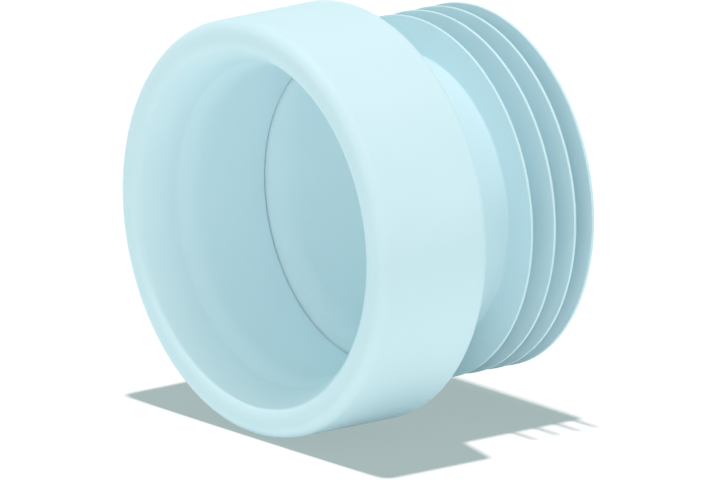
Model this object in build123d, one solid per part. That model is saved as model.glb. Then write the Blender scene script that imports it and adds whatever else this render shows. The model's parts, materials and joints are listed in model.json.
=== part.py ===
from build123d import *
from math import asin, cos, radians, sin, tan
import os

# Straight toilet pan connector, moulded in one piece from soft plastic.
# Millimetres. The axis is Y: the mouth faces -Y and the finned spigot points to +Y.
# A depth is measured along the axis from the plane of the mouth.

# Pan socket: a sleeve turned in from the mouth rim, which grips the pan's outlet
sleeve_bore_d = 100.0
sleeve_wall = 2.0
sleeve_end_gap = 0.15
sleeve_end_round = 0.3

# Sealing bead at the start of the sleeve, behind the flared throat
bead_depth = 12.2
bead_height = 2.3
bead_angle = 22.0
bead_round = 14.0
throat_angle = 10.0
flare_angle = 30.0

# Bell: the outer wall round the sleeve, with an empty pocket between the two
pocket_width = 12.6
pocket_round = 2.2
bell_wall = 2.4
bell_depth = 42.7
bell_corner_round = 2.8
rim_outer_round = 3.8
rim_inner_round = 5.8
rim_thickness = 5.0

# Shoulder: the cone that closes the bell down to the spigot
shoulder_angle = 14.2
shoulder_wall = 1.1
shoulder_root_round = 2.0

# Spigot: the tube that goes into the soil pipe
spigot_outer_d = 93.2
spigot_wall = 2.6
spigot_length = 47.6
spigot_entry_round = 6.0
spigot_end_round = 0.8

# Fins round the spigot, closer together towards its end
fin_count = 4
fin_height = 11.5
fin_setback = 3.25
fin_last_pitch = 7.2
fin_pitch_step = 1.0
fin_root_thickness = 1.6
fin_tip_thickness = 0.9
fin_root_round = 0.6

# Radii
sleeve_r = sleeve_bore_d / 2
sleeve_back_r = sleeve_r + sleeve_wall
pocket_outer_r = sleeve_back_r + pocket_width
bell_r = pocket_outer_r + bell_wall
spigot_r = spigot_outer_d / 2
bore_r = spigot_r - spigot_wall
fin_tip_r = spigot_r + fin_height

# Mouth: the rim's front is flat between the round of the bell and the round that runs into the throat.
# The throat is an arc that leaves the valley at throat_angle and meets the rim's round at flare_angle.
throat = radians(throat_angle)
flare = radians(flare_angle)
valley_r = sleeve_r + bead_height
front_outer_r = bell_r - rim_outer_round
throat_round = (bead_depth - rim_inner_round * (1 - sin(flare))) / (sin(flare) - sin(throat))
front_inner_r = valley_r + throat_round * (cos(throat) - cos(flare)) + rim_inner_round * cos(flare)

# Bead: a cone that leads down from the valley, then a round into the straight sleeve
bead = radians(bead_angle)
sleeve_start = bead_depth + bead_height / tan(bead) + bead_round * tan(bead / 2)

# Shoulder and ends
shoulder = radians(shoulder_angle)
shoulder_end = bell_depth + (bell_r - spigot_r) * tan(shoulder)
spigot_end = shoulder_end + spigot_length


def shoulder_inside(radius):
    """Depth of the shoulder's inner face at a radius."""
    return bell_depth + (bell_r - radius) * tan(shoulder) - shoulder_wall / cos(shoulder)


# The sleeve's free end is cut parallel to the shoulder and stops just short of it
sleeve_end = shoulder_inside(sleeve_r) - sleeve_end_gap
sleeve_back_end = shoulder_inside(sleeve_back_r) - sleeve_end_gap

# Pocket side of the throat's wall: behind the valley, and where it meets the back of the rim
valley_back_r = valley_r + sleeve_wall / cos(throat)
rim_slope = asin(sin(throat) + (bead_depth - rim_thickness) / throat_round)
rim_back_r = valley_r + throat_round * (cos(throat) - cos(rim_slope)) + sleeve_wall / cos(rim_slope)


def wall_section():
    """Half section of the wall, drawn with the radius along X and the depth along Y."""
    rim_outside = CenterArc((front_outer_r, rim_outer_round), rim_outer_round, 270, 90)
    rim_inside = CenterArc((front_inner_r, rim_inner_round), rim_inner_round, 270, flare_angle - 90)
    throat_centre = (valley_r + throat_round * cos(throat), bead_depth + throat_round * sin(throat))
    throat_arc = CenterArc(throat_centre, throat_round, 180 + flare_angle, throat_angle - flare_angle)
    bead_arc = CenterArc((sleeve_r + bead_round, sleeve_start), bead_round, 180, bead_angle)
    walls = Polyline(
        (bell_r, rim_outer_round),
        (bell_r, bell_depth),
        (spigot_r, shoulder_end),
        (spigot_r, spigot_end),
        (bore_r, spigot_end),
        (bore_r, shoulder_inside(bore_r)),
        (pocket_outer_r, shoulder_inside(pocket_outer_r)),
        (pocket_outer_r, rim_thickness),
        (rim_back_r, rim_thickness),
        (valley_back_r, bead_depth),
        (sleeve_back_r, sleeve_start),
        (sleeve_back_r, sleeve_back_end),
        (sleeve_r, sleeve_end),
        (sleeve_r, sleeve_start),
    )
    rim_front = Line(rim_outside @ 0, rim_inside @ 0)
    bead_cone = Line(bead_arc @ 1, throat_arc @ 1)
    return make_face([rim_outside, rim_front, rim_inside, throat_arc, bead_cone, bead_arc, walls])


def fin_depths():
    """Depths of the fins' middles, from the one nearest the spigot's end."""
    depths = []
    depth = spigot_end - fin_setback
    for number in range(fin_count):
        depths.append(depth)
        depth -= fin_last_pitch + number * fin_pitch_step
    return depths


def fin_section(middle):
    """Half section of one fin, with its root sunk half-way into the spigot's wall."""
    root_r = spigot_r - spigot_wall / 2
    outline = Polyline(
        (root_r, middle - fin_root_thickness / 2),
        (root_r, middle + fin_root_thickness / 2),
        (fin_tip_r, middle + fin_tip_thickness / 2),
        (fin_tip_r, middle - fin_tip_thickness / 2),
        close=True,
    )
    return make_face(outline)


def rounded(section, corner, radius):
    """The section with the corner nearest to a point rounded."""
    return fillet(section.vertices().sort_by_distance((*corner, 0))[0], radius)


section = wall_section()
section = rounded(section, (bell_r, bell_depth), bell_corner_round)
section = rounded(section, (spigot_r, shoulder_end), shoulder_root_round)
section = rounded(section, (spigot_r, spigot_end), min(spigot_end_round, spigot_wall / 3))
section = rounded(section, (bore_r, spigot_end), min(spigot_end_round, spigot_wall / 3))
section = rounded(section, (bore_r, shoulder_inside(bore_r)), spigot_entry_round)
section = rounded(section, (pocket_outer_r, shoulder_inside(pocket_outer_r)), min(pocket_round, pocket_width / 4))
section = rounded(section, (pocket_outer_r, rim_thickness), min(pocket_round, pocket_width / 4))
section = rounded(section, (rim_back_r, rim_thickness), min(pocket_round, pocket_width / 4))
section = rounded(section, (sleeve_back_r, sleeve_back_end), min(sleeve_end_round, sleeve_wall / 3))
section = rounded(section, (sleeve_r, sleeve_end), min(sleeve_end_round, sleeve_wall / 3))

for middle in fin_depths():
    section += fin_section(middle)
    for side in (-1, 1):
        section = rounded(section, (spigot_r, middle + side * fin_root_thickness / 2), fin_root_round)

connector = Pos(0, -sleeve_start, 0) * revolve(section, Axis.Y)

os.makedirs("parts", exist_ok=True)
export_step(connector, "parts/pan_connector.step")
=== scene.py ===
import json
from math import acos, asin, ceil, cos, pi, radians, sin, tan

import bpy
from bpy.props import FloatProperty, FloatVectorProperty, IntProperty, PointerProperty
from mathutils import Matrix, Vector


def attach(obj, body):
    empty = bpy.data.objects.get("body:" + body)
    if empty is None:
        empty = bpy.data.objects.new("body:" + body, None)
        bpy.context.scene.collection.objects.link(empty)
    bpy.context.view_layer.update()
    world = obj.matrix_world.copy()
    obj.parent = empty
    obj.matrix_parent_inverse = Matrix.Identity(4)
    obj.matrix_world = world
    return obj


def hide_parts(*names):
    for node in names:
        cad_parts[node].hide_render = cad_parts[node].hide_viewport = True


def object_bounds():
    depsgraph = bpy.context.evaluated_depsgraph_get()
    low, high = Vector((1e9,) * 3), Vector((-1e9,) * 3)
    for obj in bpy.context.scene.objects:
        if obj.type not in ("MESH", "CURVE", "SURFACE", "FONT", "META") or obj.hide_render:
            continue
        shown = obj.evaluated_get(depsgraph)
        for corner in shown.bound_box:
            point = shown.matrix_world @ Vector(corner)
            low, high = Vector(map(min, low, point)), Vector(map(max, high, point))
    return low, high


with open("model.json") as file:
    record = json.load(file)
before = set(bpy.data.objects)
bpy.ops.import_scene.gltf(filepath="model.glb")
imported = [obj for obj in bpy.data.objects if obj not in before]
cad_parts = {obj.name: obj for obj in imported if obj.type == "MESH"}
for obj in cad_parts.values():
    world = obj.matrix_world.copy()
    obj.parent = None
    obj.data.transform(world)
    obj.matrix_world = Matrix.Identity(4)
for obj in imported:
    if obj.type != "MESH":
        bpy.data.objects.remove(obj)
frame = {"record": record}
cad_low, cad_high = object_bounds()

bl_info = {
    "name": "Toilet pan connector",
    "version": (1, 0, 0),
    "blender": (4, 5, 0),
    "location": "3D View > Sidebar > Pan connector",
    "description": "A straight pan connector turned from its wall section, on a white stage",
    "category": "Add Mesh",
}

NODE = "pan_connector"
BODY = "root"
SLOT = "soft_plastic"
PIECE = "connector_moulding"
MOUNTS = {mount["name"]: mount for mount in frame["record"]["mounts"]}
MM_PER_METRE = 1000
QUARTER_TURN = pi / 2
DIGITS = 5


def mount_radius(name):
    """Radius of a stated interface, in metres."""
    return MOUNTS[name]["dims"]["r_mm"] / MM_PER_METRE


def length(name, description, default):
    """A length that a user can change, in metres."""
    return FloatProperty(
        name=name, description=description, default=default, min=0, unit="LENGTH", precision=DIGITS
    )


def shift(name, description, default):
    """A length to either side that a user can change, in metres."""
    return FloatProperty(name=name, description=description, default=default, unit="LENGTH", precision=DIGITS)


def strength(name, description, default):
    """A lamp's strength that a user can change."""
    return FloatProperty(name=name, description=description, default=default, min=0)


def angle(name, description, default):
    """An angle that a user can change, given here in degrees."""
    return FloatProperty(name=name, description=description, default=radians(default), unit="ROTATION")


def share(name, description, default):
    """A number from 0 to 1 that a user can change."""
    return FloatProperty(
        name=name, description=description, default=default, min=0, max=1, subtype="FACTOR"
    )


def colour(name, description, default):
    """A colour that a user can change."""
    return FloatVectorProperty(
        name=name, description=description, default=default, min=0, max=1, subtype="COLOR"
    )


class ConnectorSizes(bpy.types.PropertyGroup):
    """Sizes of the moulding's wall section"""

    bell_radius: length("Bell radius", "Outside of the bell", cad_high.x)
    bell_wall: length("Bell wall", "Thickness of the bell's wall", 0.0024)
    bell_depth: length("Bell depth", "From the mouth to the bell's rear corner", 0.0427)
    bell_corner_round: length("Bell corner round", "Round of the bell's rear corner", 0.0028)
    rim_outer_round: length("Rim outer round", "Round from the mouth to the bell's outside", 0.0038)
    rim_inner_round: length("Rim inner round", "Round from the mouth to the lip, were that sharp", 0.0097)
    lip_depth: length("Lip depth", "From the mouth to the lip where the throat begins", 0.0011)
    lip_round: length("Lip round", "Round of the lip", 0.004)
    rim_thickness: length("Rim thickness", "From the mouth to the pocket behind the rim", 0.005)
    throat_angle: angle("Throat angle", "Slope of the throat at the valley, against the axis", 10)
    flare_angle: angle("Flare angle", "Slope of the throat at the lip, against the axis", 40)
    bead_depth: length("Bead depth", "From the mouth to the valley before the bead", 0.0122)
    bead_height: length("Bead height", "How far the bead stands in from the throat's end", 0.0023)
    bead_angle: angle("Bead angle", "Slope of the bead's cone against the axis", 22)
    bead_round: length("Bead round", "Round from the bead's cone into the sleeve", 0.014)
    sleeve_radius: length("Sleeve radius", "Inside of the sleeve", mount_radius("pan_socket"))
    sleeve_wall: length("Sleeve wall", "Thickness of the sleeve", 0.002)
    sleeve_end_gap: length("Sleeve end gap", "Between the sleeve's free end and the shoulder", 0.00045)
    sleeve_end_round: length("Sleeve end round", "Round of the sleeve's free end", 0.0001)
    pocket_round: length("Pocket round", "Rounds inside the pocket between bell and sleeve", 0.0022)
    shoulder_angle: angle("Shoulder angle", "Slope of the shoulder's cone", 14.2)
    shoulder_wall: length("Shoulder wall", "Thickness of the shoulder", 0.00095)
    shoulder_root_round: length("Shoulder root round", "Round from the shoulder into the spigot", 0.002)
    spigot_radius: length("Spigot radius", "Outside of the spigot", 0.0466)
    bore_radius: length("Bore radius", "Inside of the spigot", mount_radius("spigot_bore"))
    spigot_entry_round: length("Spigot entry round", "Round from the shoulder into the bore", 0.0077)
    spigot_end_round: length("Spigot end round", "Rounds of the spigot's end", 0.0008)
    total_depth: length("Total depth", "From the mouth to the spigot's end", cad_high.y - cad_low.y)
    fin_count: IntProperty(name="Fins", description="Number of sealing fins", default=4, min=1, max=12)
    fin_radius: length("Fin radius", "Outside of the fins", mount_radius("drain_fins"))
    fin_setback: length("Fin setback", "From the spigot's end to the middle of the last fin", 0.00325)
    fin_last_pitch: length("Last fin pitch", "Between the last two fins", 0.0072)
    fin_pitch_step: length("Fin pitch step", "How much each pitch grows towards the shoulder", 0.001)
    fin_root_thickness: length("Fin root thickness", "Thickness of a fin in the spigot's wall", 0.0016)
    fin_tip_thickness: length("Fin tip thickness", "Thickness of a fin at its tip", 0.0009)
    fin_root_round: length("Fin root round", "Round at a fin's root", 0.0006)
    fin_tip_round: length("Fin tip round", "Round of a fin's edges", 0.0002)
    sides: IntProperty(name="Sides", description="Steps round the axis", default=240, min=24, max=360)


class ConnectorFinish(bpy.types.PropertyGroup):
    """Finish of the soft plastic"""

    base: colour("Colour", "Colour of the plastic", (0.69, 0.86, 0.91))
    cloud: share("Cloudiness", "How much the colour drifts over the surface", 0.03)
    smooth_roughness: share("Smooth roughness", "Roughness of the smoothest places", 0.56)
    dull_roughness: share("Dull roughness", "Roughness of the dullest places", 0.68)
    grain_height: length("Grain height", "Height of the moulded grain", 0.00002)
    ripple_height: length("Ripple height", "Height of the slow ripples from cooling", 0.00006)


class StageLook(bpy.types.PropertyGroup):
    """Floor, light and camera"""

    floor: colour("Floor", "Colour that the floor throws back", (0.92, 0.97, 0.97))
    shade: colour("Shade", "What the camera sees of the floor in shadow", (0.369, 0.459, 0.459))
    answer: share("Answer", "How strongly the camera sees the floor answer the light from above", 0.039)
    answer_cone: share("Answer cone", "How far from upright that light may stand, of 90 degrees", 0.1)
    floor_size: length("Floor size", "Side of the floor", 6.0)
    floor_drop: length("Floor drop", "From the lowest point of the bell to the floor", 0.00042)
    sun: strength("Sun", "Strength of the light from above", 1.3)
    sun_tint: colour("Sun tint", "Colour of the light from above", (1.0, 0.87, 0.87))
    sun_lean: angle("Sun lean", "How far the light from above stands towards the mouth", 0.56)
    sun_tilt: angle("Sun tilt", "How far the light from above stands to the left of the mouth", 0.88)
    sun_spread: angle("Sun spread", "Softness of the light from above on the moulding", 0.1)
    shadow_spread: angle("Shadow spread", "Softness of the light from above on the floor", 2.8)
    front: strength("Front", "Strength of the light from the camera's side", 0.31)
    front_tint: colour("Front tint", "Colour of the light from the camera's side", (1.0, 0.63, 0.63))
    front_spread: angle("Front spread", "Softness of the light from the camera's side", 20)
    room: colour("Room", "Even light from all round", (0.575, 0.71, 0.71))
    azimuth: angle("Azimuth", "Direction of the camera round the vertical", 51.501)
    elevation: angle("Elevation", "Height of the camera above the horizon", 14.783)
    view_width: length("View width", "Width of the picture at the object", 0.2272)
    view_right: shift("View right", "How far right of the origin the camera aims", 0.018586)
    view_up: shift("View up", "How far above the origin the camera aims", -0.006319)
    distance: length("Distance", "From the object to the camera", 0.8)


class ConnectorLook(bpy.types.PropertyGroup):
    """All that the panel shows"""

    sizes: PointerProperty(type=ConnectorSizes, name="Sizes", description="Sizes of the moulding")
    finish: PointerProperty(type=ConnectorFinish, name="Finish", description="Finish of the plastic")
    stage: PointerProperty(type=StageLook, name="Stage", description="Floor, light and camera")


# The wall section: points (radius, depth) in metres, with the depth measured from the mouth.
# A small round is drawn in coarse steps and any other in fine ones.
# A long straight run gets a support point near each end.

SMALL_ROUND = 0.001
FINE_STEP = radians(5)
COARSE_STEP = radians(18)
SUPPORT = 0.00025
LONG_RUN = 4 * SUPPORT
SAME_POINT = 1e-7


def shoulder_inside(size, radius):
    """Depth of the shoulder's inner face at a radius."""
    rise = (size.bell_radius - radius) * tan(size.shoulder_angle)
    return size.bell_depth + rise - size.shoulder_wall / cos(size.shoulder_angle)


def throat_round(size):
    """Radius of the arc that flares the throat from the valley to the lip."""
    return (size.bead_depth - size.lip_depth) / (sin(size.flare_angle) - sin(size.throat_angle))


def rim_back(size):
    """Radius at which the throat's pocket side meets the back of the rim."""
    bend = throat_round(size)
    slope = asin(sin(size.throat_angle) + (size.bead_depth - size.rim_thickness) / bend)
    throat = size.sleeve_radius + size.bead_height + bend * (cos(size.throat_angle) - cos(slope))
    return throat + size.sleeve_wall / cos(slope)


def fin_corners(size):
    """Corners of the fins, from the one nearest the shoulder to the last."""
    middles = []
    middle = size.total_depth - size.fin_setback
    for number in range(size.fin_count):
        middles.insert(0, middle)
        middle -= size.fin_last_pitch + number * size.fin_pitch_step
    wall_middle = (size.spigot_radius + size.bore_radius) / 2
    taper = (size.fin_root_thickness - size.fin_tip_thickness) / (size.fin_radius - wall_middle)
    half_root = (size.fin_root_thickness - taper * (size.spigot_radius - wall_middle)) / 2
    half_tip = size.fin_tip_thickness / 2
    corners = []
    for middle in middles:
        corners += [
            (size.spigot_radius, middle - half_root, size.fin_root_round),
            (size.fin_radius, middle - half_tip, size.fin_tip_round),
            (size.fin_radius, middle + half_tip, size.fin_tip_round),
            (size.spigot_radius, middle + half_root, size.fin_root_round),
        ]
    return corners


def section_corners(size):
    """Corners of the closed wall section in order, each with its radius, depth and round."""
    valley = size.sleeve_radius + size.bead_height
    half_flare = (size.flare_angle - size.throat_angle) / 2
    reach = throat_round(size) * tan(half_flare)
    flare_radius = valley + reach * sin(size.throat_angle)
    flare_depth = size.bead_depth - reach * cos(size.throat_angle)
    lip_radius = flare_radius + reach * sin(size.flare_angle)
    lip_angle = acos(1 - size.lip_depth / size.rim_inner_round)
    rim_corner = lip_radius + size.lip_depth / tan(lip_angle)
    lip_turn = QUARTER_TURN - lip_angle - size.flare_angle
    lip_reach = size.lip_round * tan(lip_turn / 2)
    throat_bend = (reach - lip_reach) / tan(half_flare)
    rim_round = size.rim_inner_round - lip_reach / tan(lip_angle / 2)
    bead_corner = size.bead_depth + size.bead_height / tan(size.bead_angle)
    sleeve_start = bead_corner + size.bead_round * tan(size.bead_angle / 2)
    valley_back = valley + size.sleeve_wall / cos(size.throat_angle)
    sleeve_back = size.sleeve_radius + size.sleeve_wall
    pocket_outer = size.bell_radius - size.bell_wall
    sleeve_end = shoulder_inside(size, size.sleeve_radius) - size.sleeve_end_gap
    sleeve_back_end = shoulder_inside(size, sleeve_back) - size.sleeve_end_gap
    shoulder_end = size.bell_depth + (size.bell_radius - size.spigot_radius) * tan(size.shoulder_angle)
    return [
        (size.bell_radius, 0, size.rim_outer_round),
        (size.bell_radius, size.bell_depth, size.bell_corner_round),
        (size.spigot_radius, shoulder_end, size.shoulder_root_round),
        *fin_corners(size),
        (size.spigot_radius, size.total_depth, size.spigot_end_round),
        (size.bore_radius, size.total_depth, size.spigot_end_round),
        (size.bore_radius, shoulder_inside(size, size.bore_radius), size.spigot_entry_round),
        (pocket_outer, shoulder_inside(size, pocket_outer), size.pocket_round),
        (pocket_outer, size.rim_thickness, size.pocket_round),
        (rim_back(size), size.rim_thickness, size.pocket_round),
        (valley_back, size.bead_depth, 0),
        (sleeve_back, sleeve_start, 0),
        (sleeve_back, sleeve_back_end, size.sleeve_end_round),
        (size.sleeve_radius, sleeve_end, size.sleeve_end_round),
        (size.sleeve_radius, bead_corner, size.bead_round),
        (valley, size.bead_depth, 0),
        (flare_radius, flare_depth, throat_bend),
        (lip_radius, size.lip_depth, size.lip_round),
        (rim_corner, 0, rim_round),
    ]


def corner_points(before, corner, after):
    """The points that round one corner, or the corner itself where it is sharp."""
    here = Vector(corner[:2])
    bend = corner[2]
    if bend == 0:
        return [here]
    inwards = (Vector(before[:2]) - here).normalized()
    outwards = (Vector(after[:2]) - here).normalized()
    half = inwards.angle(outwards) / 2
    centre = here + (inwards + outwards).normalized() * bend / sin(half)
    start = here + inwards * bend / tan(half) - centre
    end = here + outwards * bend / tan(half) - centre
    sweep = start.angle_signed(end)
    step = COARSE_STEP if bend < SMALL_ROUND else FINE_STEP
    steps = ceil(abs(sweep) / step)
    return [centre + Matrix.Rotation(-sweep * i / steps, 2) @ start for i in range(steps + 1)]


def section_outline(size):
    """The section's points: rounded corners, and a point near each end of a straight run to keep it flat."""
    corners = section_corners(size)
    outline = []
    for number, corner in enumerate(corners):
        points = corner_points(corners[number - 1], corner, corners[(number + 1) % len(corners)])
        for point in points:
            if not outline or (point - outline[-1]).length > SAME_POINT:
                outline.append(point)
    if (outline[0] - outline[-1]).length <= SAME_POINT:
        outline.pop()
    supported = []
    for number, point in enumerate(outline):
        following = outline[(number + 1) % len(outline)]
        run = following - point
        supported.append(point)
        if run.length > LONG_RUN:
            supported.append(point + run.normalized() * SUPPORT)
            supported.append(following - run.normalized() * SUPPORT)
    return supported


# Node trees. A fold above the crease angle is shaded as a sharp edge.
# A noise has its scale in cycles per metre, its detail and its roughness.

CREASE_ANGLE = radians(24)
CLOUD_NOISE = (26, 3, 0.55)
DULLNESS_NOISE = (70, 4, 0.6)
RIPPLE_NOISE = (55, 1, 0.4)
GRAIN_NOISE = (1500, 2, 0.5)
WHITE = (1, 1, 1, 1)


def turning_tree():
    """Turns a section, drawn round the sleeve's wall, about the Y axis into a closed moulding."""
    tree = bpy.data.node_groups.new("Turned moulding", "GeometryNodeTree")
    face = tree.interface
    face.new_socket("Section", in_out="INPUT", socket_type="NodeSocketGeometry")
    face.new_socket("Sides", in_out="INPUT", socket_type="NodeSocketInt")
    face.new_socket("Turning radius", in_out="INPUT", socket_type="NodeSocketFloat")
    face.new_socket("Crease angle", in_out="INPUT", socket_type="NodeSocketFloat")
    face.new_socket("Plastic", in_out="INPUT", socket_type="NodeSocketMaterial")
    face.new_socket("Moulding", in_out="OUTPUT", socket_type="NodeSocketGeometry")
    nodes, links = tree.nodes, tree.links
    given = nodes.new("NodeGroupInput")
    made = nodes.new("NodeGroupOutput")
    section = nodes.new("GeometryNodeMeshToCurve")
    circle = nodes.new("GeometryNodeCurvePrimitiveCircle")
    sweep = nodes.new("GeometryNodeCurveToMesh")
    turn = nodes.new("GeometryNodeTransform")
    turn.inputs["Rotation"].default_value = (QUARTER_TURN, 0, 0)
    smooth = nodes.new("GeometryNodeSetShadeSmooth")
    crease = nodes.new("GeometryNodeSetShadeSmooth")
    crease.domain = "EDGE"
    crease.inputs["Shade Smooth"].default_value = False
    fold = nodes.new("GeometryNodeInputMeshEdgeAngle")
    sharp = nodes.new("FunctionNodeCompare")
    real = nodes.new("GeometryNodeRealizeInstances")
    coat = nodes.new("GeometryNodeSetMaterial")
    links.new(given.outputs["Section"], section.inputs["Mesh"])
    links.new(given.outputs["Sides"], circle.inputs["Resolution"])
    links.new(given.outputs["Turning radius"], circle.inputs["Radius"])
    links.new(circle.outputs["Curve"], sweep.inputs["Curve"])
    links.new(section.outputs["Curve"], sweep.inputs["Profile Curve"])
    links.new(sweep.outputs["Mesh"], turn.inputs["Geometry"])
    links.new(turn.outputs["Geometry"], smooth.inputs["Geometry"])
    links.new(fold.outputs["Unsigned Angle"], sharp.inputs["A"])
    links.new(given.outputs["Crease angle"], sharp.inputs["B"])
    links.new(sharp.outputs["Result"], crease.inputs["Selection"])
    links.new(smooth.outputs["Geometry"], crease.inputs["Geometry"])
    links.new(crease.outputs["Geometry"], real.inputs["Geometry"])
    links.new(real.outputs["Geometry"], coat.inputs["Geometry"])
    links.new(given.outputs["Plastic"], coat.inputs["Material"])
    links.new(coat.outputs["Geometry"], made.inputs["Moulding"])
    return tree


def noise(nodes, links, place, settings):
    """A noise over the surface."""
    scale, detail, roughness = settings
    texture = nodes.new("ShaderNodeTexNoise")
    texture.inputs["Scale"].default_value = scale
    texture.inputs["Detail"].default_value = detail
    texture.inputs["Roughness"].default_value = roughness
    links.new(place, texture.inputs["Vector"])
    return texture.outputs["Fac"]


def spread(nodes, links, value, low, high):
    """A value from 0 to 1 moved into a range."""
    mapped = nodes.new("ShaderNodeMapRange")
    mapped.inputs["To Min"].default_value = low
    mapped.inputs["To Max"].default_value = high
    links.new(value, mapped.inputs["Value"])
    return mapped.outputs["Result"]


def soft_plastic(finish):
    """Satin soft plastic: a faintly clouded colour, uneven dullness, fine grain and slow ripples."""
    material = bpy.data.materials.new(SLOT)
    material.use_nodes = True
    nodes, links = material.node_tree.nodes, material.node_tree.links
    shader = nodes["Principled BSDF"]
    place = nodes.new("ShaderNodeTexCoord").outputs["Object"]

    cloud = noise(nodes, links, place, CLOUD_NOISE)
    shade = spread(nodes, links, cloud, 1 - finish.cloud, 1 + finish.cloud)
    tone = nodes.new("ShaderNodeHueSaturation")
    tone.inputs["Color"].default_value = (*finish.base, 1)
    links.new(shade, tone.inputs["Value"])
    links.new(tone.outputs["Color"], shader.inputs["Base Color"])

    patches = noise(nodes, links, place, DULLNESS_NOISE)
    dull = spread(nodes, links, patches, finish.smooth_roughness, finish.dull_roughness)
    links.new(dull, shader.inputs["Roughness"])

    ripples = nodes.new("ShaderNodeBump")
    ripples.inputs["Distance"].default_value = finish.ripple_height
    links.new(noise(nodes, links, place, RIPPLE_NOISE), ripples.inputs["Height"])
    grain = nodes.new("ShaderNodeBump")
    grain.inputs["Distance"].default_value = finish.grain_height
    links.new(noise(nodes, links, place, GRAIN_NOISE), grain.inputs["Height"])
    links.new(ripples.outputs["Normal"], grain.inputs["Normal"])
    links.new(grain.outputs["Normal"], shader.inputs["Normal"])
    return material


def is_looked_at(nodes, links):
    """1 for rays that come from the camera, straight or by a reflection or through something clear."""
    path = nodes.new("ShaderNodeLightPath")
    mirrored = nodes.new("ShaderNodeMath")
    mirrored.operation = "MAXIMUM"
    links.new(path.outputs["Is Camera Ray"], mirrored.inputs[0])
    links.new(path.outputs["Is Glossy Ray"], mirrored.inputs[1])
    looked_at = nodes.new("ShaderNodeMath")
    looked_at.operation = "MAXIMUM"
    links.new(mirrored.outputs["Value"], looked_at.inputs[0])
    links.new(path.outputs["Is Transmission Ray"], looked_at.inputs[1])
    return looked_at.outputs["Value"]


def floor_material(stage):
    """Matte floor that looks white where the light from above falls, with one even shade in its shadow."""
    material = bpy.data.materials.new("floor_white")
    material.use_nodes = True
    nodes, links = material.node_tree.nodes, material.node_tree.links
    nodes.clear()
    matte = nodes.new("ShaderNodeBsdfDiffuse")
    matte.inputs["Color"].default_value = (*stage.floor, 1)
    sunlit = nodes.new("ShaderNodeBsdfToon")
    sunlit.inputs["Color"].default_value = (stage.answer, stage.answer, stage.answer, 1)
    sunlit.inputs["Size"].default_value = stage.answer_cone
    sunlit.inputs["Smooth"].default_value = 0
    shade = nodes.new("ShaderNodeEmission")
    shade.inputs["Color"].default_value = (*stage.shade, 1)
    both = nodes.new("ShaderNodeAddShader")
    links.new(sunlit.outputs["BSDF"], both.inputs[0])
    links.new(shade.outputs["Emission"], both.inputs[1])
    choice = nodes.new("ShaderNodeMixShader")
    links.new(is_looked_at(nodes, links), choice.inputs["Fac"])
    links.new(matte.outputs["BSDF"], choice.inputs[1])
    links.new(both.outputs["Shader"], choice.inputs[2])
    out = nodes.new("ShaderNodeOutputMaterial")
    links.new(choice.outputs["Shader"], out.inputs["Surface"])
    return material


def room_light(stage):
    """World that lights the object evenly from all round, and looks white."""
    world = bpy.data.worlds.new("room_light")
    world.use_nodes = True
    nodes, links = world.node_tree.nodes, world.node_tree.links
    nodes.clear()
    light = nodes.new("ShaderNodeBackground")
    light.inputs["Color"].default_value = (*stage.room, 1)
    white = nodes.new("ShaderNodeBackground")
    white.inputs["Color"].default_value = WHITE
    choice = nodes.new("ShaderNodeMixShader")
    path = nodes.new("ShaderNodeLightPath")
    links.new(path.outputs["Is Camera Ray"], choice.inputs["Fac"])
    links.new(light.outputs["Background"], choice.inputs[1])
    links.new(white.outputs["Background"], choice.inputs[2])
    out = nodes.new("ShaderNodeOutputWorld")
    links.new(choice.outputs["Shader"], out.inputs["Surface"])
    return world


# Pieces and stage


def linked(name, data):
    """A new object in the scene's own collection."""
    made = bpy.data.objects.new(name, data)
    bpy.context.scene.collection.objects.link(made)
    return made


def distant_light(name, energy, tint, softness):
    """A lamp far away, whose light comes in one direction."""
    data = bpy.data.lights.new(name, "SUN")
    data.energy = energy
    data.color = tint
    data.angle = softness
    return linked(name, data)


def light_only(lamp, receiver):
    """Lets a lamp light one object alone."""
    receivers = bpy.data.collections.new(lamp.name)
    receivers.objects.link(receiver)
    lamp.light_linking.receiver_collection = receivers


def set_inputs(modifier, tree, values):
    """Sets a node modifier's inputs by the names that its tree gives them."""
    for socket in tree.interface.items_tree:
        if socket.in_out == "INPUT" and socket.name in values:
            modifier[socket.identifier] = values[socket.name]


class CONNECTOR_OT_moulding(bpy.types.Operator):
    """Turn the wall section into the moulding that stands for the solid"""

    bl_idname = "connector.moulding"
    bl_label = "Moulding"

    def execute(self, context):
        look = context.scene.connector_look
        size = look.sizes
        outline = section_outline(size)
        mouth = cad_low.y
        points = [(point.x - size.sleeve_radius, point.y + mouth, 0) for point in outline]
        edges = [(number, (number + 1) % len(points)) for number in range(len(points))]
        section = bpy.data.meshes.new("wall_section")
        section.from_pydata(points, edges, [])
        drawn = linked("wall_section", section)
        tree = turning_tree()
        modifier = drawn.modifiers.new("Turned moulding", "NODES")
        modifier.node_group = tree
        set_inputs(modifier, tree, {
            "Sides": size.sides,
            "Turning radius": size.sleeve_radius,
            "Crease angle": CREASE_ANGLE,
            "Plastic": soft_plastic(look.finish),
        })
        evaluated = drawn.evaluated_get(context.evaluated_depsgraph_get())
        mesh = bpy.data.meshes.new_from_object(evaluated)
        mesh.name = PIECE
        bpy.data.objects.remove(drawn)
        moulding = linked(PIECE, mesh)
        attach(moulding, BODY)
        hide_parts(NODE)
        return {"FINISHED"}


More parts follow.
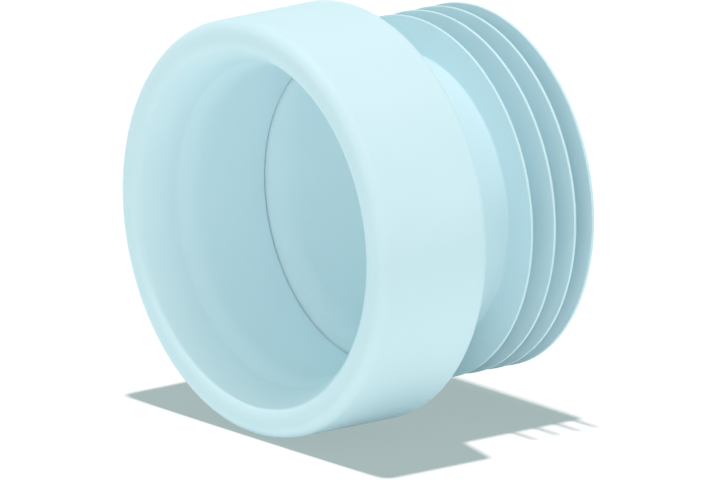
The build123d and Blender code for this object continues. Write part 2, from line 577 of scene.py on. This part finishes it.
class CONNECTOR_OT_stage(bpy.types.Operator):
    """Set the floor, the light and the camera"""

    bl_idname = "connector.stage"
    bl_label = "Stage"

    def execute(self, context):
        scene = context.scene
        stage = scene.connector_look.stage
        scene.view_settings.view_transform = "Standard"

        half = stage.floor_size / 2
        low = cad_low.z - stage.floor_drop
        corners = [(-half, -half, low), (half, -half, low), (half, half, low), (-half, half, low)]
        plane = bpy.data.meshes.new("floor")
        plane.from_pydata(corners, [], [(0, 1, 2, 3)])
        plane.materials.append(floor_material(stage))
        floor = linked("floor", plane)

        moulding = scene.objects[PIECE]
        for receiver, softness in ((moulding, stage.sun_spread), (floor, stage.shadow_spread)):
            sun = distant_light("sun_on_" + receiver.name, stage.sun, stage.sun_tint, softness)
            sun.rotation_euler = (stage.sun_lean, -stage.sun_tilt, 0)
            light_only(sun, receiver)

        scene.world = room_light(stage)

        view = bpy.data.cameras.new("camera")
        view.type = "ORTHO"
        view.ortho_scale = stage.view_width
        camera = linked("camera", view)
        flat = cos(stage.elevation)
        back = Vector((sin(stage.azimuth) * flat, -cos(stage.azimuth) * flat, sin(stage.elevation)))
        turn = (-back).to_track_quat("-Z", "Y")
        right = turn @ Vector((1, 0, 0))
        up = turn @ Vector((0, 1, 0))
        camera.rotation_mode = "QUATERNION"
        camera.rotation_quaternion = turn
        camera.location = back * stage.distance + right * stage.view_right + up * stage.view_up
        view.clip_end = 2 * stage.floor_size
        scene.camera = camera

        front = distant_light("light_from_front", stage.front, stage.front_tint, stage.front_spread)
        front.rotation_mode = "QUATERNION"
        front.rotation_quaternion = turn
        return {"FINISHED"}


class CONNECTOR_PT_panel(bpy.types.Panel):
    """Buttons and sizes of the pan connector"""

    bl_idname = "CONNECTOR_PT_panel"
    bl_label = "Pan connector"
    bl_space_type = "VIEW_3D"
    bl_region_type = "UI"
    bl_category = "Pan connector"

    def draw(self, context):
        look = context.scene.connector_look
        layout = self.layout
        layout.operator(CONNECTOR_OT_moulding.bl_idname)
        layout.operator(CONNECTOR_OT_stage.bl_idname)
        for group in (look.sizes, look.finish, look.stage):
            box = layout.box()
            for name in group.__annotations__:
                box.prop(group, name)


CLASSES = (
    ConnectorSizes,
    ConnectorFinish,
    StageLook,
    ConnectorLook,
    CONNECTOR_OT_moulding,
    CONNECTOR_OT_stage,
    CONNECTOR_PT_panel,
)


def register():
    for cls in CLASSES:
        bpy.utils.register_class(cls)
    bpy.types.Scene.connector_look = PointerProperty(type=ConnectorLook)


def unregister():
    del bpy.types.Scene.connector_look
    for cls in reversed(CLASSES):
        bpy.utils.unregister_class(cls)


def main():
    register()
    bpy.ops.connector.moulding()
    bpy.ops.connector.stage()


if __name__ == "__main__":
    main()
